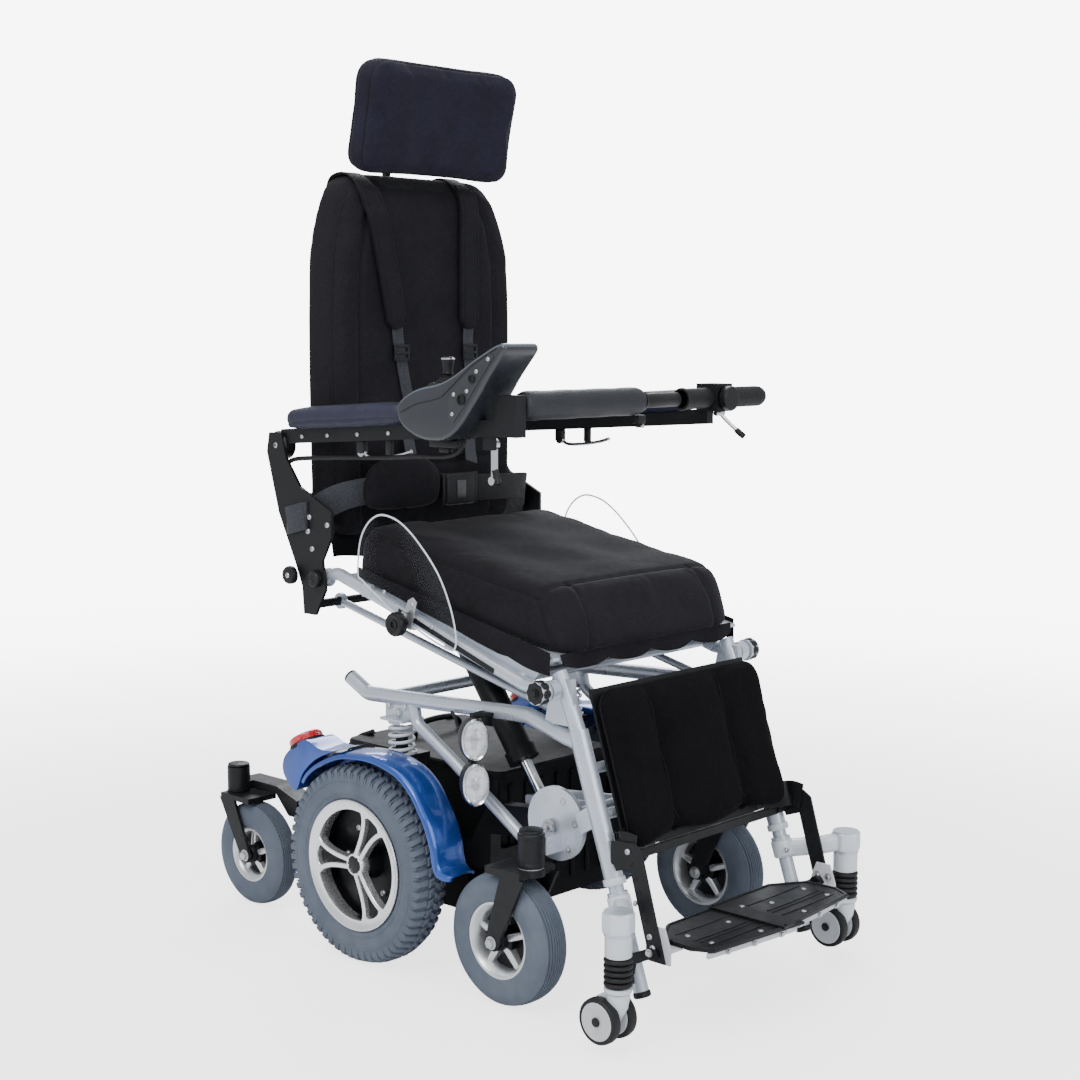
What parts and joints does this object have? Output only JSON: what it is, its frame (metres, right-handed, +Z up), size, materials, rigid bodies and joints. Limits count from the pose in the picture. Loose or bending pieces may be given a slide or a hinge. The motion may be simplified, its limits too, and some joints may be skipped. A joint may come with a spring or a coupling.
{
  "type": "power wheelchair",
  "caption": "Powered wheelchair with a raising sit-to-stand seat, parallel-linked upright back, flip-up arms, side joystick pod, sprung base, castors and front stabilisers.",
  "frame": {"origin": "on the floor plane, on the centreline, directly under the drive axle", "axes": "+Z up, -Y the direction of travel, +X the occupant's left"},
  "size_m": [0.752, 1.212, 1.5891],
  "materials": {
    "frame_silver": "silver powder coat",
    "blue_paint": "metallic blue",
    "black_metal": "satin black powder coat",
    "tyre_grey": "blue-grey rubber",
    "rim_silver": "machined face",
    "plastic_black": "moulded",
    "fabric_black": "stretch knit",
    "vinyl_grey": "grained vinyl",
    "chrome": "polished",
    "clear_lens": "clear lens",
    "red_lens": "red lens",
    "acrylic": "clear sheet",
    "rubber_black": "ribbed rubber",
    "housing_charcoal": "moulded"
  },
  "bodies": {
    "chassis": {"chassis_frame": "black_metal", "battery_box": "plastic_black", "batteries": "plastic_black", "drive_motors": "black_metal", "fenders": "blue_paint", "lamp_housings": "blue_paint", "tail_lamps": "red_lens"},
    "upper_frame": {"upper_frame_weldment": "frame_silver", "leg_tubes": "frame_silver", "suspension_springs": "frame_silver", "headlamps": "plastic_black", "headlamp_lenses": "clear_lens", "calf_plate": "black_metal", "calf_pad": "fabric_black", "stabilizer_bellows_left": "rubber_black", "stabilizer_bellows_right": "rubber_black"},
    "footrest": {"footplates": "black_metal"},
    "seat": {"seat_frame": "frame_silver", "seat_cushion": "fabric_black", "side_guards": "acrylic"},
    "levelling_rods": {"levelling_rods": "black_metal"},
    "actuator_rod": {"actuator_rod": "chrome"},
    "actuator_tube": {"actuator_tube": "black_metal"},
    "back": {"back_frame": "black_metal", "backrest_pad": "fabric_black"},
    "headrest_slide": {"headrest_post": "black_metal"},
    "headrest": {"headrest_pad": "fabric_black"},
    "arm_left": {"armrest_frame_left": "black_metal", "arm_pad_left": "vinyl_grey"},
    "arm_right": {"armrest_frame_right": "black_metal", "arm_pad_right": "vinyl_grey", "chest_pad": "fabric_black", "controller_housing": "housing_charcoal"},
    "chest_bar": {"chest_tube": "chrome"},
    "release_lever": {"release_lever": "chrome"},
    "joystick_gimbal": {"joystick_gimbal": "plastic_black"},
    "joystick": {"joystick": "plastic_black"},
    "mode_button": {"mode_button": "plastic_black"},
    "drive_wheel_right": {"drive_tyre_right": "tyre_grey", "drive_rim_right": "rim_silver"},
    "front_castor_right": {"front_fork_right": "black_metal"},
    "front_wheel_right": {"front_tyre_right": "tyre_grey", "front_rim_right": "rim_silver"},
    "rear_castor_right": {"rear_fork_right": "black_metal"},
    "rear_wheel_right": {"rear_tyre_right": "tyre_grey", "rear_rim_right": "rim_silver"},
    "stabilizer_stem_right": {"stabilizer_stem_right": "frame_silver"},
    "stabilizer_swivel_right": {"stabilizer_fork_right": "frame_silver"},
    "stabilizer_wheels_right": {"stabilizer_wheels_right": "plastic_black"},
    "drive_wheel_left": {"drive_tyre_left": "tyre_grey", "drive_rim_left": "rim_silver"},
    "front_castor_left": {"front_fork_left": "black_metal"},
    "front_wheel_left": {"front_tyre_left": "tyre_grey", "front_rim_left": "rim_silver"},
    "rear_castor_left": {"rear_fork_left": "black_metal"},
    "rear_wheel_left": {"rear_tyre_left": "tyre_grey", "rear_rim_left": "rim_silver"},
    "stabilizer_stem_left": {"stabilizer_stem_left": "frame_silver"},
    "stabilizer_swivel_left": {"stabilizer_fork_left": "frame_silver"},
    "stabilizer_wheels_left": {"stabilizer_wheels_left": "plastic_black"}
  },
  "joints": [
    {"name": "drive_wheel_right_spin", "type": "hinge", "parent": "chassis", "child": "drive_wheel_right", "pos_m": [-0.29, 0, 0.1775], "axis": [1, 0, 0], "continuous": true},
    {"name": "front_castor_right_swivel", "type": "hinge", "parent": "upper_frame", "child": "front_castor_right", "pos_m": [-0.27, -0.381, 0.27], "axis": [0, 0, 1], "continuous": true},
    {"name": "front_wheel_right_spin", "type": "hinge", "parent": "front_castor_right", "child": "front_wheel_right", "pos_m": [-0.27, -0.331, 0.1125], "axis": [1, 0, 0], "continuous": true},
    {"name": "rear_castor_right_swivel", "type": "hinge", "parent": "chassis", "child": "rear_castor_right", "pos_m": [-0.217, 0.456, 0.235], "axis": [0, 0, 1], "continuous": true},
    {"name": "rear_wheel_right_spin", "type": "hinge", "parent": "rear_castor_right", "child": "rear_wheel_right", "pos_m": [-0.217, 0.398, 0.1], "axis": [1, 0, 0], "continuous": true},
    {"name": "stabilizer_right_travel", "type": "slide", "parent": "upper_frame", "child": "stabilizer_stem_right", "axis": [0, 0, 1], "range_m": [0, 0.02], "deforming": ["stabilizer_bellows_right"]},
    {"name": "stabilizer_right_swivel", "type": "hinge", "parent": "stabilizer_stem_right", "child": "stabilizer_swivel_right", "pos_m": [-0.311, -0.604, 0.09], "axis": [0, 0, 1], "continuous": true},
    {"name": "stabilizer_right_spin", "type": "hinge", "parent": "stabilizer_swivel_right", "child": "stabilizer_wheels_right", "pos_m": [-0.311, -0.584, 0.053], "axis": [1, 0, 0], "continuous": true},
    {"name": "drive_wheel_left_spin", "type": "hinge", "parent": "chassis", "child": "drive_wheel_left", "pos_m": [0.29, 0, 0.1775], "axis": [1, 0, 0], "continuous": true},
    {"name": "front_castor_left_swivel", "type": "hinge", "parent": "upper_frame", "child": "front_castor_left", "pos_m": [0.27, -0.381, 0.27], "axis": [0, 0, 1], "continuous": true},
    {"name": "front_wheel_left_spin", "type": "hinge", "parent": "front_castor_left", "child": "front_wheel_left", "pos_m": [0.27, -0.331, 0.1125], "axis": [1, 0, 0], "continuous": true},
    {"name": "rear_castor_left_swivel", "type": "hinge", "parent": "chassis", "child": "rear_castor_left", "pos_m": [0.217, 0.456, 0.235], "axis": [0, 0, 1], "continuous": true},
    {"name": "rear_wheel_left_spin", "type": "hinge", "parent": "rear_castor_left", "child": "rear_wheel_left", "pos_m": [0.217, 0.398, 0.1], "axis": [1, 0, 0], "continuous": true},
    {"name": "stabilizer_left_travel", "type": "slide", "parent": "upper_frame", "child": "stabilizer_stem_left", "axis": [0, 0, 1], "range_m": [0, 0.02], "deforming": ["stabilizer_bellows_left"]},
    {"name": "stabilizer_left_swivel", "type": "hinge", "parent": "stabilizer_stem_left", "child": "stabilizer_swivel_left", "pos_m": [0.311, -0.604, 0.09], "axis": [0, 0, 1], "continuous": true},
    {"name": "stabilizer_left_spin", "type": "hinge", "parent": "stabilizer_swivel_left", "child": "stabilizer_wheels_left", "pos_m": [0.311, -0.584, 0.053], "axis": [1, 0, 0], "continuous": true},
    {"name": "frame_suspension", "type": "hinge", "parent": "chassis", "child": "upper_frame", "pos_m": [0, -0.377, 0.298], "axis": [1, 0, 0], "range_deg": [-2, 2], "stiffness_Nm_per_rad": 30000, "deforming": ["suspension_springs"]},
    {"name": "footplate_flip", "type": "hinge", "parent": "upper_frame", "child": "footrest", "pos_m": [0, -0.606, 0.156], "axis": [-1, 0, 0], "range_deg": [0, 80]},
    {"name": "seat_lift", "type": "hinge", "parent": "upper_frame", "child": "seat", "pos_m": [0, -0.406, 0.535], "axis": [1, 0, 0], "range_deg": [-10, 40]},
    {"name": "back_level", "type": "hinge", "parent": "seat", "child": "back", "pos_m": [0, 0.145, 0.667], "axis": [1, 0, 0], "range_deg": [-40, 10]},
    {"name": "levelling_rod_pivot", "type": "hinge", "parent": "upper_frame", "child": "levelling_rods", "pos_m": [0, -0.386, 0.485], "axis": [1, 0, 0], "range_deg": [-10, 40]},
    {"name": "actuator_pivot", "type": "hinge", "parent": "upper_frame", "child": "actuator_rod", "pos_m": [-0.12, -0.27, 0.305], "axis": [1, 0, 0], "range_deg": [-7, 26]},
    {"name": "actuator_stroke", "type": "slide", "parent": "actuator_rod", "child": "actuator_tube", "axis": [0, 0.59, 0.8074], "range_m": [-0.042, 0.16]},
    {"name": "headrest_height", "type": "slide", "parent": "back", "child": "headrest_slide", "axis": [0, 0, 1], "range_m": [0, 0.06]},
    {"name": "headrest_tilt", "type": "hinge", "parent": "headrest_slide", "child": "headrest", "pos_m": [0, 0.178, 1.49], "axis": [1, 0, 0], "range_deg": [-12, 8]},
    {"name": "armrest_right_flip", "type": "hinge", "parent": "back", "child": "arm_right", "pos_m": [-0.26, 0.257, 0.902], "axis": [-1, 0, 0], "range_deg": [0, 55]},
    {"name": "armrest_left_flip", "type": "hinge", "parent": "back", "child": "arm_left", "pos_m": [0.26, 0.257, 0.902], "axis": [-1, 0, 0], "range_deg": [0, 55]},
    {"name": "chest_bar_slide", "type": "slide", "parent": "arm_left", "child": "chest_bar", "axis": [1, 0, 0], "range_m": [-0.1, 0]},
    {"name": "release_lever_turn", "type": "hinge", "parent": "arm_right", "child": "release_lever", "pos_m": [-0.246, -0.275, 0.926], "axis": [1, 0, 0], "range_deg": [0, 70]},
    {"name": "joystick_fore_aft", "type": "hinge", "parent": "arm_right", "child": "joystick_gimbal", "pos_m": [-0.262, -0.183, 1.014], "axis": [1, 0, 0], "range_deg": [-15, 15], "stiffness_Nm_per_rad": 0.4},
    {"name": "joystick_left_right", "type": "hinge", "parent": "joystick_gimbal", "child": "joystick", "pos_m": [-0.262, -0.183, 1.014], "axis": [0, 1, 0], "range_deg": [-15, 15], "stiffness_Nm_per_rad": 0.4},
    {"name": "mode_button_press", "type": "slide", "parent": "arm_right", "child": "mode_button", "axis": [0, 0.4279, 0.9038], "range_m": [-0.0015, 0], "stiffness_N_per_m": 800}
  ],
  "couplings": [
    {"joint": "back_level", "follows": "seat_lift", "ratio": -1},
    {"joint": "levelling_rod_pivot", "follows": "seat_lift", "ratio": 1},
    {"joint": "actuator_pivot", "follows": "seat_lift", "ratio": 0.6215},
    {"joint": "actuator_stroke", "follows": "seat_lift", "m_per_rad": 0.22329}
  ]
}
